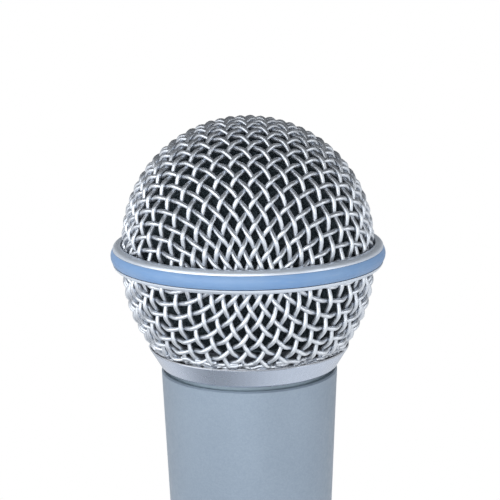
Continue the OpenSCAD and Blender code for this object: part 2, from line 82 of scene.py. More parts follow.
def times(tree, a, b):
    return mathNode(tree, "MULTIPLY", a, b)


def larger(tree, a, b):
    return mathNode(tree, "MAXIMUM", a, b)


def weighted(tree, first, firstShare, second, secondShare):
    return mathNode(tree, "ADD", times(tree, first, firstShare), times(tree, second, secondShare))


def remap(tree, value, low, high, toLow=0.0, toHigh=1.0):
    return addNode(tree, "ShaderNodeMapRange", None, [value, low, high, toLow, toHigh]).outputs[0]


# places of the colour sockets on a Mix node, which has a set for each kind of data
mixPlaces = {"factor": 0, "first": 6, "second": 7, "result": 2}


def blendColour(tree, factor, first, second):
    node = addNode(tree, "ShaderNodeMix", {"data_type": "RGBA"})
    for key, value in (("factor", factor), ("first", first), ("second", second)):
        socket = node.inputs[mixPlaces[key]]
        if isinstance(value, bpy.types.NodeSocket):
            tree.links.new(value, socket)
        else:
            socket.default_value = value if key == "factor" else (*value, 1)
    return node.outputs[mixPlaces["result"]]


def noiseAt(tree, coords, scale, detail=3.0, rough=0.5):
    return addNode(tree, "ShaderNodeTexNoise", None, None, Vector=coords, Scale=scale, Detail=detail,
                   Roughness=rough).outputs[0]


def clearTree(owner):
    owner.use_nodes = True
    owner.node_tree.nodes.clear()
    return owner.node_tree


def newFinish(name):
    mat = bpy.data.materials.new(name)
    tree = clearTree(mat)
    out = tree.nodes.new("ShaderNodeOutputMaterial")
    bsdf = tree.nodes.new("ShaderNodeBsdfPrincipled")
    tree.links.new(bsdf.outputs[0], out.inputs[0])
    coords = tree.nodes.new("ShaderNodeTexCoord").outputs["Object"]
    return mat, tree, bsdf, coords


# radius about the handle's axis, from coordinates that are already split
def axisRadius(tree, parts):
    flat = addNode(tree, "ShaderNodeCombineXYZ", None, [parts.outputs[0], parts.outputs[1], 0.0])
    length = addNode(tree, "ShaderNodeVectorMath", {"operation": "LENGTH"}, [flat.outputs[0]])
    return length.outputs["Value"]


# angle, height and radius about the handle's axis, for patterns that run round the piece
def roundAxis(tree, coords, scaleRound, scaleUp):
    parts = addNode(tree, "ShaderNodeSeparateXYZ", None, [coords])
    angle = mathNode(tree, "ARCTAN2", parts.outputs[1], parts.outputs[0])
    return addNode(tree, "ShaderNodeCombineXYZ", None, [
        times(tree, angle, scaleRound),
        times(tree, parts.outputs[2], scaleUp),
        times(tree, axisRadius(tree, parts), scaleUp)]).outputs[0]


# finishes

noiseSpan = (0.3, 0.7)      # where most of a noise lies
noiseMiddle = 0.5


def setColour(tree, bsdf, factor, first, second):
    tree.links.new(blendColour(tree, factor, first, second), bsdf.inputs["Base Color"])


def setPlain(bsdf, **values):
    for key, value in values.items():
        bsdf.inputs[key.replace("_", " ")].default_value = value


def setRough(tree, bsdf, pattern, rough):
    tree.links.new(remap(tree, pattern, *noiseSpan, *rough), bsdf.inputs["Roughness"])


# each finish gives its bump as a strength and a depth in metres
def setBump(tree, bsdf, height, strength, depth):
    bump = addNode(tree, "ShaderNodeBump", None, None, Strength=strength, Distance=depth, Height=height)
    tree.links.new(bump.outputs[0], bsdf.inputs["Normal"])


wireFinish = {
    "bright": (0.69, 0.73, 0.785), "dull": (0.57, 0.61, 0.675), "tuckShade": (0.30, 0.33, 0.38),
    "cloudScale": 420, "cloudShare": 0.7, "toneShare": 0.4,
    "tuck": (0.5, -0.9), "tuckCloud": 0.5, "tuckShare": 0.4,    # painted shade where a wire dips under
    "metal": 0.88, "roughScale": 1500, "rough": (0.37, 0.49),
    "bumpScale": 5200, "bump": (0.12, 0.00006),
}


def nickelWire():
    look = wireFinish
    mat, tree, bsdf, coords = newFinish("nickelWire")
    side = addNode(tree, "ShaderNodeAttribute", {"attribute_name": "side"}).outputs["Fac"]
    tone = addNode(tree, "ShaderNodeAttribute", {"attribute_name": "tone"}).outputs["Fac"]
    cloud = noiseAt(tree, coords, look["cloudScale"], detail=4)
    shine = weighted(tree, cloud, look["cloudShare"], tone, look["toneShare"])
    base = blendColour(tree, shine, look["dull"], look["bright"])
    height = mathNode(tree, "ADD", side, times(tree, cloud, look["tuckCloud"]))
    tucked = remap(tree, height, *look["tuck"])
    # the wire's colour darkens where it dips under its neighbour: painted shade
    setColour(tree, bsdf, times(tree, tucked, look["tuckShare"]), base, look["tuckShade"])
    setPlain(bsdf, Metallic=look["metal"])
    setRough(tree, bsdf, noiseAt(tree, coords, look["roughScale"]), look["rough"])
    setBump(tree, bsdf, noiseAt(tree, coords, look["bumpScale"], detail=2), *look["bump"])
    return mat


bandFinish = {
    "bright": (0.665, 0.725, 0.81), "dull": (0.555, 0.615, 0.70),
    "cloudScale": 260, "cloudShare": 0.6, "turnedShare": 0.4,
    "roundScale": 14, "upScale": 9000,      # turning marks, long round the band and fine up it
    "metal": 0.6, "rough": (0.36, 0.50), "bump": (0.10, 0.00005),
}


def platedBand():
    look = bandFinish
    mat, tree, bsdf, coords = newFinish("platedBand")
    turned = noiseAt(tree, roundAxis(tree, coords, look["roundScale"], look["upScale"]), 1.0)
    cloud = noiseAt(tree, coords, look["cloudScale"], detail=4)
    shine = weighted(tree, cloud, look["cloudShare"], turned, look["turnedShare"])
    setColour(tree, bsdf, shine, look["dull"], look["bright"])
    setPlain(bsdf, Metallic=look["metal"])
    setRough(tree, bsdf, turned, look["rough"])
    setBump(tree, bsdf, turned, *look["bump"])
    return mat


ringFinish = {
    "face": (0.182, 0.296, 0.478), "worn": (0.255, 0.355, 0.50), "deep": (0.144, 0.268, 0.487),
    "cloudScale": 90, "cloudSpan": (0.35, 0.7),
    "roundScale": 5, "upScale": 2600, "wearSpan": (0.55, 0.8), "wearMost": 0.5,     # streaks of wear
    "rough": (0.34, 0.48), "specular": 0.36, "bumpScale": 2600, "bump": (0.10, 0.00005),
}


def blueRing():
    look = ringFinish
    mat, tree, bsdf, coords = newFinish("blueRing")
    streak = noiseAt(tree, roundAxis(tree, coords, look["roundScale"], look["upScale"]), 1.0, detail=4)
    cloud = noiseAt(tree, coords, look["cloudScale"])
    face = blendColour(tree, remap(tree, cloud, *look["cloudSpan"]), look["deep"], look["face"])
    wear = remap(tree, streak, *look["wearSpan"], 0.0, look["wearMost"])
    setColour(tree, bsdf, wear, face, look["worn"])
    setRough(tree, bsdf, streak, look["rough"])
    setPlain(bsdf, Specular_IOR_Level=look["specular"])
    setBump(tree, bsdf, noiseAt(tree, coords, look["bumpScale"]), *look["bump"])
    return mat


# lacquer with a fine flake in it, and the clouds that it has
def flakedPaint(tree, coords, look):
    flake = addNode(tree, "ShaderNodeTexVoronoi", None, None, Vector=coords, Scale=look["flakeScale"])
    flakeTone = addNode(tree, "ShaderNodeSeparateColor", None, [flake.outputs["Color"]]).outputs[0]
    cloud = noiseAt(tree, coords, look["cloudScale"], detail=4)
    tone = weighted(tree, cloud, look["cloudShare"], flakeTone, look["flakeShare"])
    return blendColour(tree, tone, look["paint"], look["pale"]), cloud


collarFinish = {
    "paint": (0.435, 0.50, 0.62), "pale": (0.535, 0.595, 0.70), "lipHighlight": (0.86, 0.88, 0.91),
    # painted shade in the collar's bowl, round the cloth
    "seat": (0.09, 0.10, 0.12),
    "top": collarFoot + 3.9, "lip": 0.25, "lipStray": 0.3,      # a painted highlight along the lip, mm
    "seatFoot": collarFoot + 0.25, "seatRadius": 16.7, "seatSlope": 0.603, "seatWidth": 0.3,
    "flakeScale": 5200, "flakeShare": 0.3, "cloudScale": 160, "cloudShare": 0.7,
    "metal": 0.85, "lipHighlightMetal": 0.3, "rough": (0.22, 0.30),
    "bumpScale": 2300, "bump": (0.07, 0.00008),
}


# 1 on the bowl that holds the cloth, 0 on the outside: where the collar gets its painted shade
def collarInside(tree, parts):
    look = collarFinish
    rise = mathNode(tree, "SUBTRACT", parts.outputs[2], look["seatFoot"] * mm)
    wall = mathNode(tree, "ADD", times(tree, rise, look["seatSlope"]), look["seatRadius"] * mm)
    depth = mathNode(tree, "SUBTRACT", wall, axisRadius(tree, parts))
    return remap(tree, depth, 0.0, look["seatWidth"] * mm)


def collarLacquer():
    look = collarFinish
    mat, tree, bsdf, coords = newFinish("collarLacquer")
    paint, cloud = flakedPaint(tree, coords, look)
    parts = addNode(tree, "ShaderNodeSeparateXYZ", None, [coords])
    stray = times(tree, mathNode(tree, "SUBTRACT", cloud, noiseMiddle), look["lipStray"] * mm)
    edge = mathNode(tree, "ADD", parts.outputs[2], stray)
    # the lip is painted pale and less metallic: a painted highlight along its edge
    lip = remap(tree, edge, (look["top"] - look["lip"]) * mm, look["top"] * mm)
    inside = collarInside(tree, parts)
    setColour(tree, bsdf, inside, blendColour(tree, lip, paint, look["lipHighlight"]), look["seat"])
    metal = remap(tree, lip, 0, 1, look["metal"], look["lipHighlightMetal"])
    tree.links.new(mathNode(tree, "SUBTRACT", metal, inside, True), bsdf.inputs["Metallic"])
    setRough(tree, bsdf, cloud, look["rough"])
    setBump(tree, bsdf, noiseAt(tree, coords, look["bumpScale"], detail=4, rough=0.6), *look["bump"])
    return mat


handleFinish = {
    "paint": (0.225, 0.285, 0.36), "pale": (0.285, 0.35, 0.43), "groove": (0.22, 0.285, 0.34),
    "shoulder": collarFoot - 0.85, "grooveEdge": 0.05,          # the groove's painted shade under the collar starts here, mm
    "flakeScale": 4200, "flakeShare": 0.4, "cloudScale": 110, "cloudShare": 0.6,
    "metal": 0.5, "roughScale": 900, "rough": (0.36, 0.5),
    "bumpScale": 1700, "bump": (0.22, 0.0001),
}


def handleLacquer():
    look = handleFinish
    mat, tree, bsdf, coords = newFinish("handleLacquer")
    paint, _ = flakedPaint(tree, coords, look)
    height = addNode(tree, "ShaderNodeSeparateXYZ", None, [coords]).outputs[2]
    # above the shoulder the handle takes a darker tone: painted shade in the groove under the collar
    groove = remap(tree, height, look["shoulder"] * mm, (look["shoulder"] + look["grooveEdge"]) * mm)
    setColour(tree, bsdf, groove, paint, look["groove"])
    setPlain(bsdf, Metallic=look["metal"])
    setRough(tree, bsdf, noiseAt(tree, coords, look["roughScale"], detail=4), look["rough"])
    setBump(tree, bsdf, noiseAt(tree, coords, look["bumpScale"], detail=5, rough=0.6), *look["bump"])
    return mat


foamFinish = {
    "cell": (0.011, 0.018, 0.024), "wall": (0.068, 0.090, 0.104),
    "cellSize": 0.55, "wallSpan": (0.02, 0.28),     # cells in mm, walls in shares of a cell
    "cloudScale": 700, "rough": 1.0, "specular": 0.1, "bump": (0.9, 0.0003),
}


def openFoam():
    look = foamFinish
    mat, tree, bsdf, coords = newFinish("openFoam")
    cells = addNode(tree, "ShaderNodeTexVoronoi", {"feature": "DISTANCE_TO_EDGE"}, None, Vector=coords,
                    Scale=1 / (look["cellSize"] * mm)).outputs["Distance"]
    walls = remap(tree, cells, *look["wallSpan"], 1.0, 0.0)
    tone = times(tree, walls, noiseAt(tree, coords, look["cloudScale"]))
    setColour(tree, bsdf, tone, look["cell"], look["wall"])
    setPlain(bsdf, Roughness=look["rough"], Specular_IOR_Level=look["specular"])
    setBump(tree, bsdf, walls, *look["bump"])
    return mat


clothFinish = {
    "low": (0.02, 0.02, 0.022), "high": (0.11, 0.11, 0.115),
    "threadScale": 1100.0, "distortion": 1.2, "detail": 2.0,
    "rough": 0.95, "sheen": 0.3, "bump": (0.6, 0.0001),
}


def feltCloth():
    look = clothFinish
    mat, tree, bsdf, coords = newFinish("feltCloth")
    warp, weft = (
        addNode(tree, "ShaderNodeTexWave", {"bands_direction": way}, None, Vector=coords,
                Scale=look["threadScale"], Distortion=look["distortion"], Detail=look["detail"])
        for way in ("X", "Y"))
    woven = larger(tree, warp.outputs["Fac"], weft.outputs["Fac"])
    setColour(tree, bsdf, woven, look["low"], look["high"])
    setPlain(bsdf, Roughness=look["rough"], Sheen_Weight=look["sheen"])
    setBump(tree, bsdf, woven, *look["bump"])
    return mat


copperFinish = {
    "low": (0.28, 0.09, 0.03), "high": (0.80, 0.37, 0.16),
    "turn": 0.22,               # one turn of the wire, mm
    "waveLength": 0.31416,      # one wave of the texture at a scale of 1
    "distortion": 0.6, "detail": 1.0, "detailScale": 0.4, "cloudScale": 900,
    "metal": 0.8, "coat": 0.4, "rough": (0.45, 0.25),
    "bump": 0.7, "depth": 0.4,  # the depth in turns
}


# rows of turns up the piece, for the two windings
def copperTurns():
    look = copperFinish
    mat, tree, bsdf, coords = newFinish("copperTurns")
    turn = look["turn"] * mm
    rows = addNode(tree, "ShaderNodeTexWave", {"wave_type": "BANDS", "bands_direction": "Z"}, None,
                   Vector=coords, Scale=look["waveLength"] / turn, Distortion=look["distortion"],
                   Detail=look["detail"], Detail_Scale=look["detailScale"]).outputs["Fac"]
    tone = times(tree, rows, noiseAt(tree, coords, look["cloudScale"], detail=2))
    setColour(tree, bsdf, tone, look["low"], look["high"])
    setPlain(bsdf, Metallic=look["metal"], Coat_Weight=look["coat"])
    tree.links.new(remap(tree, rows, 0, 1, *look["rough"]), bsdf.inputs["Roughness"])
    setBump(tree, bsdf, rows, look["bump"], turn * look["depth"])
    return mat


# the two kinds of finish for the pieces that show once the ball is off, and at the connector
innerFinish = {
    "finer": 3,             # how much finer the gloss varies than the colour
    "roundScale": 6,        # turning marks, round the piece
}


def grainFinish(name, low, high, scale, metal, rough, bumpScale, bump):
    mat, tree, bsdf, coords = newFinish(name)
    cloud = noiseAt(tree, coords, scale, detail=5, rough=0.55)
    setColour(tree, bsdf, remap(tree, cloud, *noiseSpan), low, high)
    setPlain(bsdf, Metallic=metal)
    setRough(tree, bsdf, noiseAt(tree, coords, scale * innerFinish["finer"]), rough)
    setBump(tree, bsdf, noiseAt(tree, coords, bumpScale, detail=4, rough=0.6), *bump)
    return mat


def turnedFinish(name, low, high, metal, rough, upScale, bump):
    mat, tree, bsdf, coords = newFinish(name)
    turned = noiseAt(tree, roundAxis(tree, coords, innerFinish["roundScale"], upScale), 1.0)
    setColour(tree, bsdf, remap(tree, turned, *noiseSpan), low, high)
    setPlain(bsdf, Metallic=metal)
    setRough(tree, bsdf, turned, rough)
    setBump(tree, bsdf, turned, *bump)
    return mat


finishes = {
    "wire": nickelWire(),
    "band": platedBand(),
    "ring": blueRing(),
    "collar": collarLacquer(),
    "handle": handleLacquer(),
    "foam": openFoam(),
    "cloth": feltCloth(),
    "case": turnedFinish("blackenedCase", low=(0.035, 0.037, 0.042), high=(0.075, 0.078, 0.086),
                         metal=0.6, rough=(0.3, 0.45), upScale=5200, bump=(0.15, 0.00006)),
    "steel": turnedFinish("groundSteel", low=(0.42, 0.43, 0.45), high=(0.60, 0.61, 0.63),
                          metal=1.0, rough=(0.28, 0.42), upScale=7000, bump=(0.15, 0.00005)),
    "magnet": grainFinish("sinteredMagnet", low=(0.10, 0.10, 0.105), high=(0.20, 0.20, 0.21), scale=800,
                          metal=0.5, rough=(0.5, 0.7), bumpScale=3000, bump=(0.4, 0.0001)),
    "board": grainFinish("paperBoard", low=(0.20, 0.095, 0.035), high=(0.34, 0.17, 0.07), scale=500,
                         metal=0.0, rough=(0.45, 0.6), bumpScale=2600, bump=(0.25, 0.00008)),
    "contact": turnedFinish("goldPlate", low=(0.80, 0.56, 0.20), high=(0.92, 0.70, 0.30),
                            metal=1.0, rough=(0.18, 0.3), upScale=6000, bump=(0.08, 0.00003)),
    "copper": copperTurns(),
    "film": grainFinish("formedFilm", low=(0.58, 0.57, 0.50), high=(0.74, 0.73, 0.66), scale=600,
                        metal=0.0, rough=(0.15, 0.3), bumpScale=1200, bump=(0.1, 0.00004)),
    "rubber": grainFinish("mountRubber", low=(0.012, 0.012, 0.013), high=(0.035, 0.035, 0.036), scale=350,
                          metal=0.0, rough=(0.6, 0.85), bumpScale=2400, bump=(0.3, 0.00008)),
    "insert": grainFinish("mouldedInsert", low=(0.014, 0.014, 0.016), high=(0.032, 0.032, 0.035), scale=420,
                          metal=0.0, rough=(0.42, 0.6), bumpScale=3400, bump=(0.2, 0.00006)),
    "lead": grainFinish("vinylLead", low=(0.36, 0.03, 0.025), high=(0.52, 0.06, 0.045), scale=300,
                        metal=0.0, rough=(0.35, 0.5), bumpScale=1800, bump=(0.12, 0.00005)),
}
for part in frame["record"]["subparts"]:
    mesh = frame["nodes"][part["node"]].data
    mesh.materials.clear()
    mesh.materials.append(finishes[part["material_slot"]])
print("finishes set,", len(finishes))


# woven ball

weave = {
    "wire": 0.86,           # wire diameter, mm
    "crimp": 0.40,          # each wire's swing at a crossing
    "radius": 22.64,        # middle of the cloth
    "sides": 9,             # of a wire's section
    "steps": 5,             # from one crossing to the next
    "seed": 4,
    "span": 104,            # degrees from the crown that the cloth is laid out for
    "crown": 3,             # a wire's highest place is within so many crossings of its middle
    "fade": 0.9,            # radians behind the crown over which the pull dies out
    "leastRun": 0.7,        # shortest wire, in pitches
    "leastEnd": 0.25,       # shortest end past a crossing, in pitches
    "curl": {               # ends tucked into the collar, mm
        "near": 1.2,                                # an end this near the hole's level is tucked in
        "length": 3.2, "lengthRange": (0.8, 1.15),  # how far it runs on round the collar
        "lean": 1.1, "leanRange": (0.7, 1.0),       # how far it leans out to the collar's lip
        "stray": 0.2,
        "points": ((0.35, 0.04), (0.7, 0.08), (1.0, 0.22)),     # share of the way, and drop
    },
    "hem": {                # loose ends at the collar, mm
        "count": 140, "points": 4, "length": (2.0, 4.5),
        "height": (collarFoot + 3.5, collarFoot + 4.8),
        # a side of -0.8 swings these ends inward and gives them the painted shade of a tucked wire
        "aside": (0.0, 0.8), "stray": 0.24, "side": -0.8,
    },
    "bowls": {              # heights and pitch in mm, angles in degrees, pulls on arcs in radians
        "upperWeave": {
            "node": "upper_mesh", "up": 1,
            "centre": ringMiddle + 2, "rim": ringMiddle + 0.91, "hole": None,
            "pitch": 2.508, "draw": 0.053, "relax": 0.42, "bias": 0.20,
            "turn": 44.8, "tilt": (-2.8, -2.6), "shift": 0.0,
            "pull": {"widen": 0.055, "pinch": -0.025, "lean": -0.035, "sweep": 0.01,
                     "bow": 0.085, "fan": 0.065, "slack": 0.0},
        },
        "lowerWeave": {
            "node": "lower_mesh", "up": -1,
            "centre": ringMiddle - 2.75, "rim": ringMiddle - 1.01, "hole": collarFoot + 3.7,
            "pitch": 2.748, "draw": -0.011, "relax": 0.51, "bias": 0.98,
            "turn": 47.1, "tilt": (3.4, -0.1), "shift": 3.35,
            "pull": {"widen": 0.04, "pinch": -0.05, "lean": 0.0, "sweep": -0.015,
                     "bow": -0.015, "fan": 0.02, "slack": -0.015},
        },
    },
}


# cloth drawn over a unit sphere: rhombus cells, eased towards an even polar layout on the bias
def drawNet(bowl, size):
    step = bowl["pitch"] / weave["radius"]

    def reach(k):
        return k * step * (1 + bowl["draw"] * (2 * k * step / math.pi) ** 2)

    net = {}
    for k in range(size + 1):
        net[0, k] = Vector((0, math.sin(reach(k)), math.cos(reach(k))))
        net[k, 0] = Vector((math.sin(reach(k)), 0, math.cos(reach(k))))
    for i in range(1, size + 1):
        for j in range(1, size + 1):
            middle = (net[i - 1, j] + net[i, j - 1]).normalized()
            corner = net[i - 1, j - 1]
            net[i, j] = 2 * corner.dot(middle) * middle - corner
    eased = {}
    for (i, j), point in net.items():
        away, around = reach(math.hypot(i, j)), math.atan2(j, i)
        share = bowl["relax"] * abs(math.sin(2 * around)) ** bowl["bias"]
        polar = Vector((math.sin(away) * math.cos(around), math.sin(away) * math.sin(around), math.cos(away)))
        eased[i, j] = ((1 - share) * point + share * polar).normalized()
    return eased


def clothLay(bowl):
    tiltX, tiltY = (math.radians(a) for a in bowl["tilt"])
    turn, shift = math.radians(bowl["turn"]), math.radians(bowl["shift"])
    return (Matrix.Rotation(tiltX, 3, "X") @ Matrix.Rotation(tiltY, 3, "Y")
            @ Matrix.Rotation(turn, 3, "Z") @ Matrix.Rotation(shift, 3, "X"))


# the press draws the front of the cloth a little unevenly: a smooth pull, gone at the back
def pulled(point, bowl):
    away, around = math.acos(max(-1, min(1, point.z))), math.atan2(point.y, point.x)
    x, y = away * math.cos(around), away * math.sin(around)
    share = math.cos(min(max(y, 0) / weave["fade"], 1) * math.pi / 2) ** 2
    pull = bowl["pull"]
    aside = x * (pull["widen"] + pull["pinch"] * y * y) + y * (pull["lean"] + pull["sweep"] * y * y)
    along = x * (pull["bow"] * x + pull["fan"] * y) + pull["slack"] * y * y * (1 + y)
    x, y = x + share * aside, y + share * along
    away = math.hypot(x, y)
    if away == 0:
        return Vector((0, 0, 1))
    return Vector((math.sin(away) * x / away, math.sin(away) * y / away, math.cos(away)))


# one wire's crossings on the unit sphere
def wireCrossings(net, lay, bowl, family, line, size):
    wire = {}
    for k in range(-size, size + 1):
        i, j = (line, k) if family == 0 else (k, line)
        p = net[abs(i), abs(j)]
        p = lay @ Vector((math.copysign(p.x, i) if i else 0, math.copysign(p.y, j) if j else 0, p.z))
        wire[k] = pulled(p, bowl)
    return wire


# stretches of one wire between two levels, as lists of places counted in crossings
def wireRuns(heights, size, rim, hole):
    crown = weave["crown"]
    top = max(range(-crown, crown + 1), key=lambda k: heights[k])
    low, high = top, top
    if heights[top] <= rim:
        return []
    while low > -size and heights[low - 1] >= rim:
        low -= 1
    while high < size and heights[high + 1] >= rim:
        high += 1

    def between(k, step, level):
        return k + step * (heights[k] - level) / (heights[k] - heights[k + step])

    start = between(low, -1, rim) if low > -size else low
    end = between(high, 1, rim) if high < size else high
    runs = [(start, end)]
    if heights[top] > hole:
        left, right = top, top
        while heights[left - 1] > hole:
            left -= 1
        while heights[right + 1] > hole:
            right += 1
        runs = [(start, between(left, -1, hole)), (between(right, 1, hole), end)]
    places = []
    for first, last in runs:
        if last - first < weave["leastRun"]:
            continue
        run = [first] if math.ceil(first) - first >= weave["leastEnd"] else []
        run += range(math.ceil(first), math.floor(last) + 1)
        places.append(run + ([last] if last - math.floor(last) >= weave["leastEnd"] else []))
    return places


# a run's points in the part's frame, and the side of the cloth that each swings to
def wirePath(wire, run, bowl, parity, size):
    path, swings = [], []
    for t in run:
        k = min(math.floor(t), size - 1)
        p = wire[k].lerp(wire[k + 1], t - k).normalized() * weave["radius"] * mm
        path.append(Vector((p.x, p.y, bowl["centre"] * mm + bowl["up"] * p.z)))
        swings.append((1 if (parity + k) % 2 == 0 else -1) * (1 - 2 * (t - k)))
    return path, swings


# an end that is tucked into the collar runs on round it
def curledEnd(points, rng):
    curl = weave["curl"]
    last, before = points[-1], points[-2]
    around = Vector((-last.y, last.x, 0)).normalized()
    stray = rng.uniform(-curl["stray"], curl["stray"]) * mm
    side = math.copysign(1, (last - before).dot(around) + stray)
    reach = math.hypot(last.x, last.y)
    angle = math.atan2(last.y, last.x)
    more = []
    for share, drop in curl["points"]:
        a = angle + side * share * curl["length"] * mm * rng.uniform(*curl["lengthRange"]) / reach
        r = reach + curl["lean"] * share * mm * rng.uniform(*curl["leanRange"])
        more.append(Vector((r * math.cos(a), r * math.sin(a), last.z - drop * mm)))
    return more


# ends that reach the hole are led on, flat against the collar
def tuckEnds(path, swings, bowl, rng):
    for atStart in (True, False):
        tip = path[0] if atStart else path[-1]
        if abs(tip.z - bowl["hole"] * mm) >= weave["curl"]["near"] * mm:
            continue
        more = curledEnd(path[::-1] if atStart else path, rng)
        flat = [0] * len(more)
        path = more[::-1] + path if atStart else path + more
        swings = flat + swings if atStart else swings + flat
    return path, swings


# ends that were squashed flat between the cloth and the collar
def hemStrands(bowl, rng):
    hem = weave["hem"]
    for _ in range(hem["count"]):
        angle, level = rng.uniform(0, 2 * math.pi), rng.uniform(*hem["height"])
        reach = math.sqrt(weave["radius"] ** 2 - (level - bowl["centre"]) ** 2) + rng.uniform(*hem["aside"])
        turn = rng.uniform(*hem["length"]) / reach / (hem["points"] - 1)
        strand = []
        for n in range(hem["points"]):
            r = reach + rng.uniform(-hem["stray"], hem["stray"])
            z = level + rng.uniform(-hem["stray"], hem["stray"])
            a = angle + n * turn
            strand.append(Vector((r * math.cos(a), r * math.sin(a), z)) * mm)
        yield strand


def addStrand(cloth, path, swings, tone):
    first = len(cloth["points"])
    cloth["edges"] += [(first + n, first + n + 1) for n in range(len(path) - 1)]
    cloth["points"] += path
    cloth["side"] += swings
    cloth["tone"] += [tone] * len(path)


# centrelines of all the wires of one bowl, as edges with a side and a tone at each point
def clothLines(name, bowl):
    size = math.ceil(math.radians(weave["span"]) * weave["radius"] / bowl["pitch"])
    net, lay = drawNet(bowl, size), clothLay(bowl)
    rng = random.Random(weave["seed"])

    def onSphere(level):
        return bowl["up"] * (level - bowl["centre"]) / weave["radius"]

    hasHole = bowl["hole"] is not None
    rim = onSphere(bowl["rim"])
    hole = onSphere(bowl["hole"]) if hasHole else math.inf
    cloth = {"points": [], "edges": [], "side": [], "tone": []}
    for family in (0, 1):
        for line in range(1 - size, size):
            wire = wireCrossings(net, lay, bowl, family, line, size)
            for run in wireRuns({k: p.z for k, p in wire.items()}, size, rim, hole):
                tone = rng.random()
                path, swings = wirePath(wire, run, bowl, line + family, size)
                if hasHole:
                    path, swings = tuckEnds(path, swings, bowl, rng)
                addStrand(cloth, path, swings, tone)
    for strand in hemStrands(bowl, rng) if hasHole else ():
        addStrand(cloth, strand, [weave["hem"]["side"]] * len(strand), rng.random())
    mesh = bpy.data.meshes.new(name)
    mesh.from_pydata(cloth["points"], cloth["edges"], [])
    for key in ("side", "tone"):
        mesh.attributes.new(key, "FLOAT", "POINT").data.foreach_set("value", cloth[key])
    return mesh


def newTree(name, inputs):
    tree = bpy.data.node_groups.new(name, "GeometryNodeTree")
    tree.interface.new_socket(name="Geometry", in_out="INPUT", socket_type="NodeSocketGeometry")
    for label, kind in inputs:
        tree.interface.new_socket(name=label, in_out="INPUT", socket_type="NodeSocket" + kind)
    tree.interface.new_socket(name="Geometry", in_out="OUTPUT", socket_type="NodeSocketGeometry")
    return tree, tree.nodes.new("NodeGroupInput").outputs


def endTree(tree, geometry, material):
    smooth = addNode(tree, "GeometryNodeSetShadeSmooth", None, [geometry])
    real = addNode(tree, "GeometryNodeRealizeInstances", None, [smooth.outputs[0]])
    painted = addNode(tree, "GeometryNodeSetMaterial", None, None,
                      Geometry=real.outputs[0], Material=material)
    addNode(tree, "NodeGroupOutput", None, [painted.outputs[0]])


# sweeps each line as a crimped round wire
def crimpTree():
    tree, given = newTree("crimpedWires", [
        ("Centre", "Vector"), ("Crimp", "Float"), ("Wire radius", "Float"),
        ("Sides", "Int"), ("Steps", "Int"), ("Finish", "Material")])
    lines = addNode(tree, "GeometryNodeMeshToCurve", None, None, Mesh=given["Geometry"])
    place = addNode(tree, "GeometryNodeInputPosition").outputs[0]
    away = addNode(tree, "ShaderNodeVectorMath", {"operation": "SUBTRACT"}, [place, given["Centre"]])
    out = addNode(tree, "ShaderNodeVectorMath", {"operation": "NORMALIZE"}, [away.outputs[0]])
    side = addNode(tree, "GeometryNodeInputNamedAttribute", {"data_type": "FLOAT"}, None, Name="side")
    swing = times(tree, side.outputs["Attribute"], given["Crimp"])
    push = addNode(tree, "ShaderNodeVectorMath", {"operation": "SCALE"}, None,
                   Vector=out.outputs[0], Scale=swing)
    waved = addNode(tree, "GeometryNodeSetPosition", None, None,
                    Geometry=lines.outputs[0], Offset=push.outputs[0])
    bent = addNode(tree, "GeometryNodeCurveSplineType", {"spline_type": "CATMULL_ROM"}, None,
                   Curve=waved.outputs[0])
    fine = addNode(tree, "GeometryNodeSetSplineResolution", None, None,
                   Geometry=bent.outputs[0], Resolution=given["Steps"])
    section = addNode(tree, "GeometryNodeCurvePrimitiveCircle", None, None,
                      Resolution=given["Sides"], Radius=given["Wire radius"])
    wires = addNode(tree, "GeometryNodeCurveToMesh", None, None, Curve=fine.outputs[0],
                    Profile_Curve=section.outputs[0], Fill_Caps=True)
    endTree(tree, wires.outputs[0], given["Finish"])
    return tree


def bakeNodes(name, mesh, tree, values):
    piece = bpy.data.objects.new(name, mesh)
    scene.collection.objects.link(piece)
    modifier = piece.modifiers.new("nodes", "NODES")
    modifier.node_group = tree
    for item in tree.interface.items_tree:
        if item.in_out == "INPUT" and item.name in values:
            modifier[item.identifier] = values[item.name]
    graph = bpy.context.evaluated_depsgraph_get()
    baked = bpy.data.meshes.new_from_object(piece.evaluated_get(graph))
    piece.modifiers.remove(modifier)
    piece.data = baked
    bpy.data.meshes.remove(mesh)
    baked.name = name
    return piece


crimped = crimpTree()
for name, bowl in weave["bowls"].items():
    cloth = bakeNodes(name, clothLines(name + "Lines", bowl), crimped, {
        "Centre": (0, 0, bowl["centre"] * mm), "Crimp": weave["crimp"] * mm,
        "Wire radius": weave["wire"] / 2 * mm, "Sides": weave["sides"], "Steps": weave["steps"],
        "Finish": finishes["wire"]})
    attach(cloth, "ball")
    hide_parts(bowl["node"])
    print(name, len(cloth.data.polygons), "faces")


# foam liners

domeLow, domeHigh = (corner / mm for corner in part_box("dome_foam"))
neckLow, neckHigh = (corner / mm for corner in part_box("neck_foam"))
foam = {
    "inset": 0.045,         # room inside the solid that each pad stands for, mm
    "domeThick": 4.0, "neckCentre": ringMiddle - 0.35, "neckBore": 15.25,
    "edge": 0.9,            # rounding of the edges
    "edgeSteps": 5, "edgeShare": 0.45,      # most of a side that one rounding takes
    "around": 160, "shellSteps": 46, "liningSteps": 40, "neckSteps": 26,
    "neckTrim": 2,          # points at each end of the neck's curve that a rounding stands for
    "lump": 0.16, "lumpScale": 420,
}
onAxis = 1e-6               # a radius below this is a pole, metres


def roundCorners(path):
    done = []
    steps, share = foam["edgeSteps"], foam["edgeShare"]
    for n, p in enumerate(path):
        before, after = path[n - 1], path[(n + 1) % len(path)]
        back, ahead = before - p, after - p
        reach = min(foam["edge"], back.length * share, ahead.length * share)
        start, end = p + back.normalized() * reach, p + ahead.normalized() * reach
        for s in range(steps + 1):
            done.append(start.lerp(p, s / steps).lerp(p.lerp(end, s / steps), s / steps))
    return done


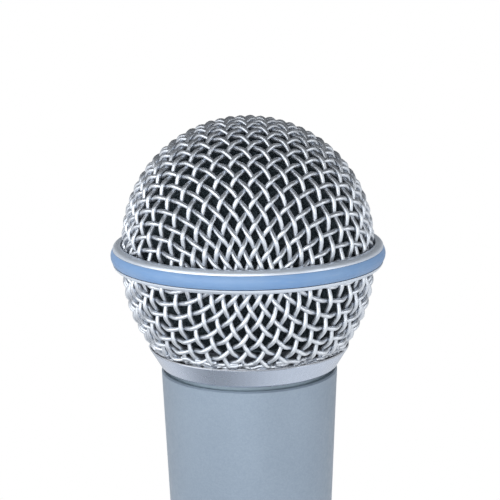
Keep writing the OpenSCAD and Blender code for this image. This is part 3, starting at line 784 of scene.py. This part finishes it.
# turned closed mesh from a loop of (radius, height), poles closed where the loop meets the axis
def turnLoop(name, loop, around, closed):
    bm = bmesh.new()
    angles = [2 * math.pi * k / around for k in range(around)]
    rings = []
    for p in loop:
        if p.x < onAxis:
            rings.append([bm.verts.new((0, 0, p.y))] * around)
        else:
            rings.append([bm.verts.new((p.x * math.cos(a), p.x * math.sin(a), p.y)) for a in angles])
    pairs = list(zip(rings, rings[1:])) + ([(rings[-1], rings[0])] if closed else [])
    for first, second in pairs:
        for k in range(around):
            corners = [first[k], first[(k + 1) % around], second[(k + 1) % around], second[k]]
            corners = list(dict.fromkeys(corners))
            if len(corners) > 2:
                bm.faces.new(corners)
    bmesh.ops.recalc_face_normals(bm, faces=bm.faces)
    mesh = bpy.data.meshes.new(name)
    bm.to_mesh(mesh)
    bm.free()
    mesh.shade_smooth()
    return mesh


def addFoam(name, loop, closed, node, body):
    mesh = turnLoop(name, [p * mm for p in loop], foam["around"], closed)
    normals = [v.normal.copy() for v in mesh.vertices]
    for v, n in zip(mesh.vertices, normals):
        v.co -= n * foam["lump"] * mm * abs(noise.noise(v.co * foam["lumpScale"]))
    mesh.materials.append(finishes["foam"])
    piece = bpy.data.objects.new(name, mesh)
    scene.collection.objects.link(piece)
    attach(piece, body)
    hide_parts(node)


def spherePath(radius, centre, fromAngle, toAngle, steps):
    angles = [fromAngle + (toAngle - fromAngle) * k / steps for k in range(steps + 1)]
    return [Vector((radius * math.cos(a), centre + radius * math.sin(a))) for a in angles]


def domeLoop():
    outer, foot = domeHigh.x - foam["inset"], domeLow.z + foam["inset"]
    inner, centre = outer - foam["domeThick"], domeHigh.z - domeHigh.x
    low = foot - centre
    lipAngles = [math.asin((low + foam["edge"]) / radius) for radius in (outer, inner)]
    shell = spherePath(outer, centre, math.pi / 2, lipAngles[0], foam["shellSteps"])
    lining = spherePath(inner, centre, lipAngles[1], math.pi / 2, foam["liningSteps"])
    footRadii = [math.sqrt(radius ** 2 - low ** 2) for radius in (outer, inner)]
    lip = roundCorners([shell[-1], *(Vector((radius, foot)) for radius in footRadii), lining[0]])
    perCorner = foam["edgeSteps"] + 1
    shell[0].x = lining[-1].x = 0
    return shell[:-1] + lip[perCorner:3 * perCorner] + lining[1:]       # the two corners at the foot


def neckLoop():
    foot, head = neckLow.z + foam["inset"], neckHigh.z - foam["inset"]
    radius, centre, bore = neckHigh.x - foam["inset"], foam["neckCentre"], foam["neckBore"]
    ends = [math.asin((level - centre) / radius) for level in (foot, head)]
    outer = spherePath(radius, centre, *ends, foam["neckSteps"])
    soft = roundCorners([outer[-1], Vector((bore, head)), Vector((bore, foot)), outer[0]])
    return outer[foam["neckTrim"]:-foam["neckTrim"]] + soft[1:]


addFoam("domeFoamPad", domeLoop(), False, "dome_foam", "ball_lining")
addFoam("neckFoamPad", neckLoop(), True, "neck_foam", "ball_base")
print("foam pads made")


# screw threads of the neck and of the collar's sleeve

thread = {
    "pitch": 0.8, "depth": 0.42,            # mm
    "outward": 0.05,                        # from the surface to the middle of the ridge
    "steps": 72, "corners": 4,              # points in a turn, and in the ridge's section
    "taper": 12.0, "leastSize": 0.15,       # how the ridge runs out at both ends
    "ridges": {
        "neckThread": {"surface": 13.33, "foot": collarFoot + 1.8, "turns": 5.0,
                       "body": "handle", "slot": "handle"},
        "collarThread": {"surface": 14.0, "foot": collarFoot + 2.0, "turns": 4.6,
                         "body": "ball", "slot": "collar"},
    },
}


def threadTree():
    tree, given = newTree("threadRun", [
        ("Radius", "Float"), ("Turns", "Float"), ("Pitch", "Float"), ("Depth", "Float"),
        ("Foot", "Float"), ("Steps", "Int"), ("Finish", "Material")])
    rise = times(tree, given["Turns"], given["Pitch"])
    spiral = addNode(tree, "GeometryNodeCurveSpiral", None, None, Resolution=given["Steps"],
                     Rotations=given["Turns"], Start_Radius=given["Radius"], End_Radius=given["Radius"],
                     Height=rise)
    lift = addNode(tree, "ShaderNodeCombineXYZ", None, None, Z=given["Foot"])
    raised = addNode(tree, "GeometryNodeTransform", None, None,
                     Geometry=spiral.outputs[0], Translation=lift.outputs[0])
    upright = addNode(tree, "GeometryNodeSetCurveNormal", {"mode": "Z_UP"}, None, Curve=raised.outputs[0])
    along = addNode(tree, "GeometryNodeSplineParameter").outputs["Factor"]
    fromMiddle = mathNode(tree, "ABSOLUTE", mathNode(tree, "SUBTRACT", along, 0.5))
    fromEnds = mathNode(tree, "SUBTRACT", 0.5, fromMiddle)
    size = mathNode(tree, "MINIMUM", times(tree, fromEnds, thread["taper"]), 1.0)
    thin = addNode(tree, "GeometryNodeSetCurveRadius", None, None, Curve=upright.outputs[0],
                   Radius=larger(tree, size, thread["leastSize"]))
    section = addNode(tree, "GeometryNodeCurvePrimitiveCircle", None, None,
                      Resolution=thread["corners"], Radius=given["Depth"])
    ridge = addNode(tree, "GeometryNodeCurveToMesh", None, None, Curve=thin.outputs[0],
                    Profile_Curve=section.outputs[0], Fill_Caps=True)
    endTree(tree, ridge.outputs[0], given["Finish"])
    return tree


ridged = threadTree()
for name, run in thread["ridges"].items():
    ridge = bakeNodes(name, bpy.data.meshes.new(name + "Base"), ridged, {
        "Radius": (run["surface"] + thread["outward"]) * mm, "Turns": run["turns"],
        "Pitch": thread["pitch"] * mm, "Depth": thread["depth"] * mm, "Foot": run["foot"] * mm,
        "Steps": thread["steps"], "Finish": finishes[run["slot"]]})
    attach(ridge, run["body"])
    print(name, len(ridge.data.polygons), "faces")


# floor, light and camera, in metres

studio = {
    "floor": {
        "half": 3.0, "drop": 0.0002,
        "tones": ((0.80, 0.80, 0.80), (0.83, 0.83, 0.83)), "grainScale": 60,
        "shade": (-0.09, -0.07, 0.0),       # middle of the patch that keeps the shadow
        "shadeSpan": (0.05, 0.16),          # the patch turns to white from here to there
        "near": (0.26, 0.27, 0.28),         # painted shadow: the patch's dark tone as the part itself sees it
        "mirrorSpan": (0.35, 0.05),         # depths between which reflections turn white
    },
    "sky": {"horizon": 0.8, "ceiling": 0.04, "ceilingFrom": 0.45, "fill": 0.62, "tint": (0.96, 0.98, 1, 1)},
    "lamps": {
        "frontSoft": {"at": (-0.25, -0.85, 0.22), "aim": (0, 0, 0.13), "size": (1.10, 0.80), "watts": 7.8},
        "rightStrip": {"at": (0.70, -0.35, 0.22), "aim": (0, 0, 0.125), "size": (0.35, 0.70), "watts": 1.5},
        "leftFill": {"at": (-0.70, -0.30, 0.28), "aim": (0, 0, 0.13), "size": (0.45, 0.70), "watts": 2.3},
    },
}
white = (1, 1, 1, 1)


# 1 on the rays that metal and glass send on
def sentOn(tree, path):
    return larger(tree, path.outputs["Is Glossy Ray"], path.outputs["Is Transmission Ray"])


# white to the camera and to reflections in front, but for the patch that keeps the shadow, which the part
# sees painted dark
def floorFinish():
    look = studio["floor"]
    mat = bpy.data.materials.new("paleFloor")
    tree = clearTree(mat)
    coords = addNode(tree, "ShaderNodeTexCoord").outputs["Object"]
    path = addNode(tree, "ShaderNodeLightPath")
    away = addNode(tree, "ShaderNodeVectorMath", {"operation": "DISTANCE"}, [coords, look["shade"]])
    far = remap(tree, away.outputs["Value"], *look["shadeSpan"])
    pale = blendColour(tree, noiseAt(tree, coords, look["grainScale"], detail=4), *look["tones"])
    lit = larger(tree, far, path.outputs["Is Camera Ray"])
    # for all but camera rays the patch takes the dark tone of a painted shadow
    flat = addNode(tree, "ShaderNodeBsdfDiffuse", None, None,
                   Color=blendColour(tree, lit, look["near"], pale))
    glow = addNode(tree, "ShaderNodeEmission", None, None, Color=white, Strength=1.0)
    depth = addNode(tree, "ShaderNodeSeparateXYZ", None, [coords]).outputs[1]
    mirrored = times(tree, remap(tree, depth, *look["mirrorSpan"]), sentOn(tree, path))
    seen = larger(tree, path.outputs["Is Camera Ray"], mirrored)
    mixed = addNode(tree, "ShaderNodeMixShader", None, [
        times(tree, seen, far), flat.outputs[0], glow.outputs[0]])
    addNode(tree, "ShaderNodeOutputMaterial", None, [mixed.outputs[0]])
    return mat


def addFloor():
    mesh = bpy.data.meshes.new("floor")
    half = studio["floor"]["half"]
    corners = [(-half, -half, 0), (half, -half, 0), (half, half, 0), (-half, half, 0)]
    mesh.from_pydata(corners, [], [(0, 1, 2, 3)])
    mesh.materials.append(floorFinish())
    floor = bpy.data.objects.new("floor", mesh)
    floor.location.z = -studio["floor"]["drop"]
    scene.collection.objects.link(floor)


# the camera sees white, reflections a sky that darkens upwards, and all else an even fill
def addWorld():
    look = studio["sky"]
    world = bpy.data.worlds.new("studio")
    scene.world = world
    tree = clearTree(world)
    heading = addNode(tree, "ShaderNodeTexCoord").outputs["Generated"]
    rise = addNode(tree, "ShaderNodeSeparateXYZ", None, [heading]).outputs[2]
    sky = remap(tree, rise, 0.0, look["ceilingFrom"], look["horizon"], look["ceiling"])
    path = addNode(tree, "ShaderNodeLightPath")
    seenSky = addNode(tree, "ShaderNodeBackground", None, None, Color=white,
                      Strength=larger(tree, sky, path.outputs["Is Camera Ray"]))
    fillSky = addNode(tree, "ShaderNodeBackground", None, None, Color=look["tint"], Strength=look["fill"])
    seen = larger(tree, path.outputs["Is Camera Ray"], sentOn(tree, path))
    mixed = addNode(tree, "ShaderNodeMixShader", None, [seen, fillSky.outputs[0], seenSky.outputs[0]])
    addNode(tree, "ShaderNodeOutputWorld", None, [mixed.outputs[0]])


def addLamps():
    for name, lamp in studio["lamps"].items():
        data = bpy.data.lights.new(name, "AREA")
        data.shape = "RECTANGLE"
        data.size, data.size_y = lamp["size"]
        data.energy = lamp["watts"]
        obj = bpy.data.objects.new(name, data)
        obj.location = lamp["at"]
        obj.rotation_euler = (Vector(lamp["aim"]) - Vector(lamp["at"])).to_track_quat("-Z", "Y").to_euler()
        scene.collection.objects.link(obj)


# place, lens and sensor in mm, angles in degrees
eye = {"at": (0.37, -300.0, 200.6), "down": 12.35, "roll": -0.7, "lens": 118.94, "sensor": 36, "nearest": 10}


def addCamera():
    data = bpy.data.cameras.new("eye")
    data.lens = eye["lens"]
    data.sensor_width = eye["sensor"]
    data.clip_start = eye["nearest"] * mm
    camera = bpy.data.objects.new("eye", data)
    pitch, roll = math.radians(90 - eye["down"]), math.radians(eye["roll"])
    turn = Matrix.Rotation(pitch, 4, "X") @ Matrix.Rotation(roll, 4, "Z")
    camera.matrix_world = Matrix.Translation(Vector(eye["at"]) * mm) @ turn
    scene.collection.objects.link(camera)
    scene.camera = camera


addFloor()
addWorld()
addLamps()
addCamera()
scene.view_settings.view_transform = "Standard"
print("studio set")
